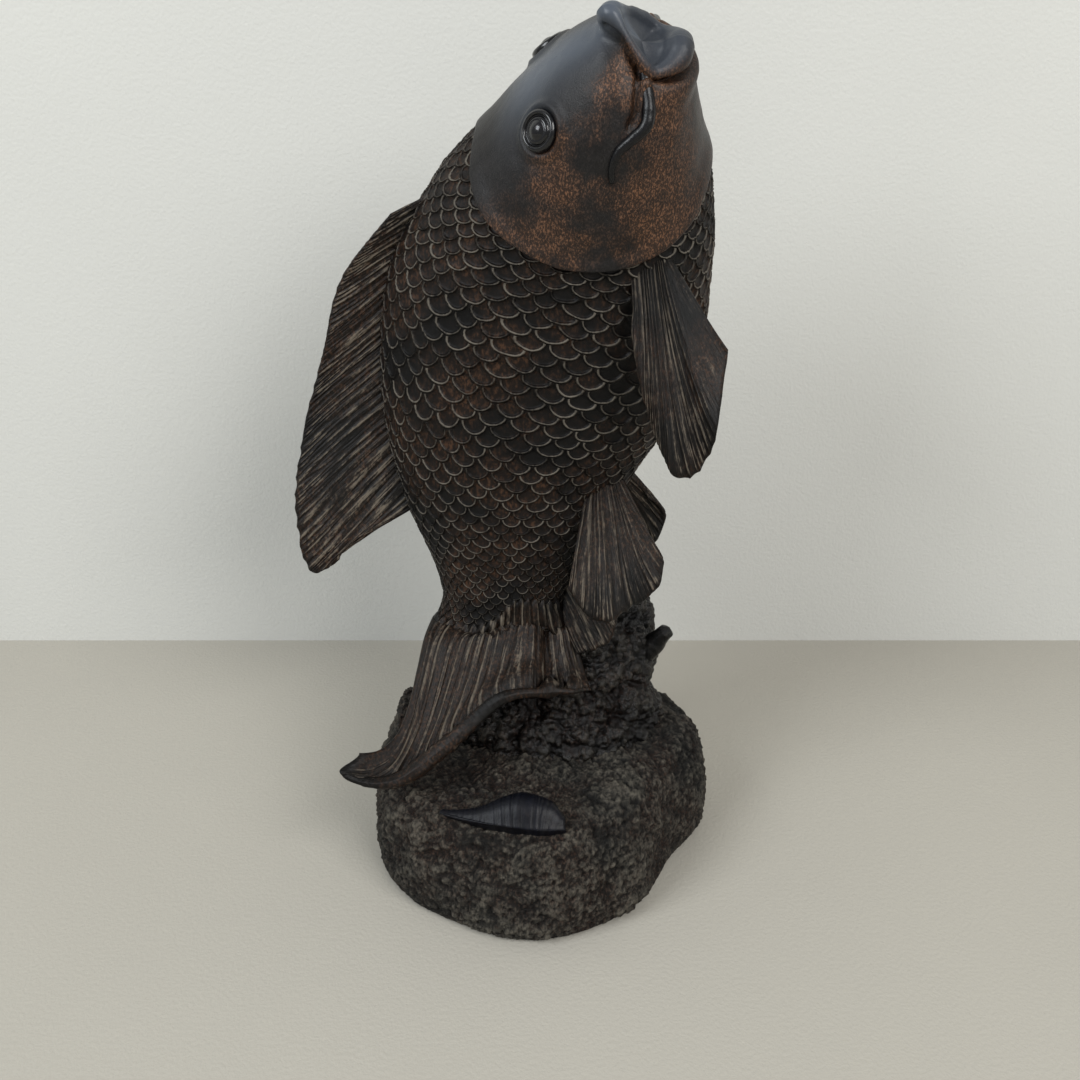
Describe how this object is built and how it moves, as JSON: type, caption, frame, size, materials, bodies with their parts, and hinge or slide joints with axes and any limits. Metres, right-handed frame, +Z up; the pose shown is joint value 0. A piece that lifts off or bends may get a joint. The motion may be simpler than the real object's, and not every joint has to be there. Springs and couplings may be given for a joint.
{
  "type": "fish figurine",
  "caption": "Cast resin figurine of a carp standing on its tail against a coral column, on a rough rock base with a shell and a stone.",
  "frame": {"origin": "centre of the underside of the base pad, on the surface that the figurine stands on", "axes": "+Z up; the fish's right flank faces -Y, its belly +X and its back -X"},
  "size_m": [0.1504, 0.144, 0.2927],
  "materials": {
    "fish_skin": "satin, dark bronze over near black, with lighter scale edges",
    "head_skin": "satin, charcoal with copper speckle",
    "fin_skin": "satin, dark with tan dry-brushed rays",
    "eye_gloss": "gloss, near black",
    "rock": "matte, granular dark grey",
    "coral": "semi-gloss, coarse and pitted",
    "shell": "gloss, blue-black with fine ribs",
    "steel": "plain drawn rod",
    "pad": "matte"
  },
  "bodies": {
    "root": {"fish_body": "fish_skin", "head": "head_skin", "right_eye": "eye_gloss", "left_eye": "eye_gloss", "right_barbel": "head_skin", "left_barbel": "head_skin", "dorsal_fin": "fin_skin", "anal_fin": "fin_skin", "right_pectoral_fin": "fin_skin", "left_pectoral_fin": "fin_skin", "right_pelvic_fin": "fin_skin", "left_pelvic_fin": "fin_skin", "tail_fin": "fin_skin", "support_rod": "steel", "rock_base": "rock", "base_pad": "pad", "coral_column": "coral", "coral_finger": "coral", "stone": "rock", "shell": "shell"}
  },
  "joints": []
}
